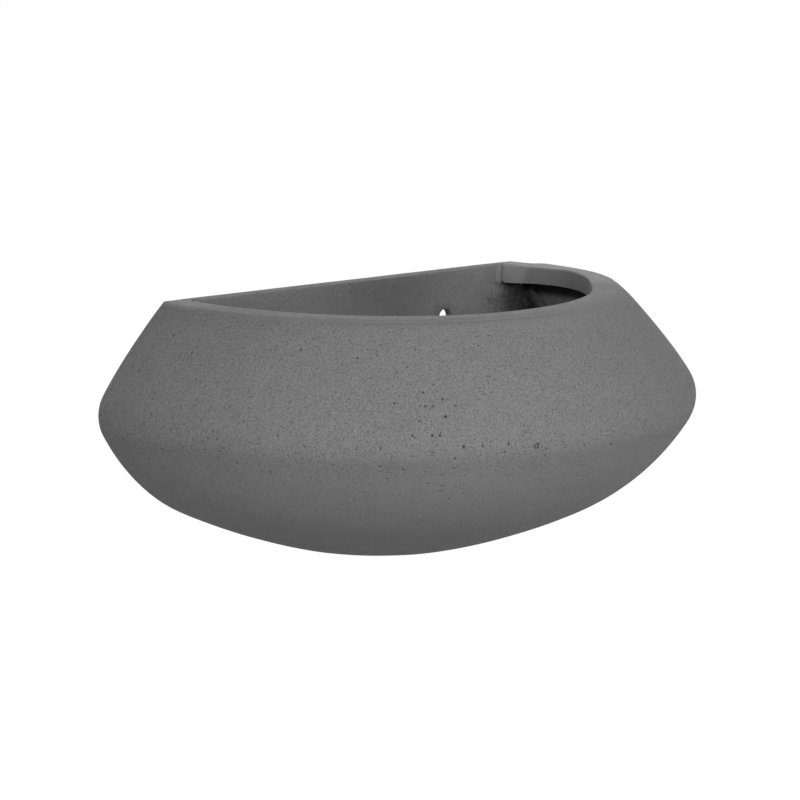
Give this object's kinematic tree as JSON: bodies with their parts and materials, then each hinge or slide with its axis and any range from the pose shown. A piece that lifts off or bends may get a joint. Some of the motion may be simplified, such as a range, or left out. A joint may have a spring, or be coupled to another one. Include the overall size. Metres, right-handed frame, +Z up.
{
  "type": "wall planter",
  "caption": "Half-round wall planter of grey cast stone with a flat back, rounded belly, thick inner lip, round fixing holes and a lift-out drain stopper.",
  "frame": {"origin": "on the wall plane, midway between the two mounting holes", "axes": "+Z up, +Y into the wall, +X along the wall to the right seen from the front"},
  "size_m": [0.4, 0.2249, 0.158],
  "materials": {
    "cast_stone": "matt, fine sandy grain with scattered pinholes",
    "mortar": "rough, pebbly, hand-pressed",
    "plug_rubber": "matt black"
  },
  "bodies": {
    "planter": {"front_bowl": "cast_stone", "rim_collar": "cast_stone", "back_panel": "cast_stone", "seam_fillet": "mortar", "left_lip_seam": "mortar", "right_lip_seam": "mortar"},
    "stopper": {"drain_plug": "plug_rubber"}
  },
  "joints": [
    {"name": "plug_lift", "type": "slide", "parent": "planter", "child": "stopper", "axis": [0, 0, 1], "range_m": [0, 0.18]}
  ]
}
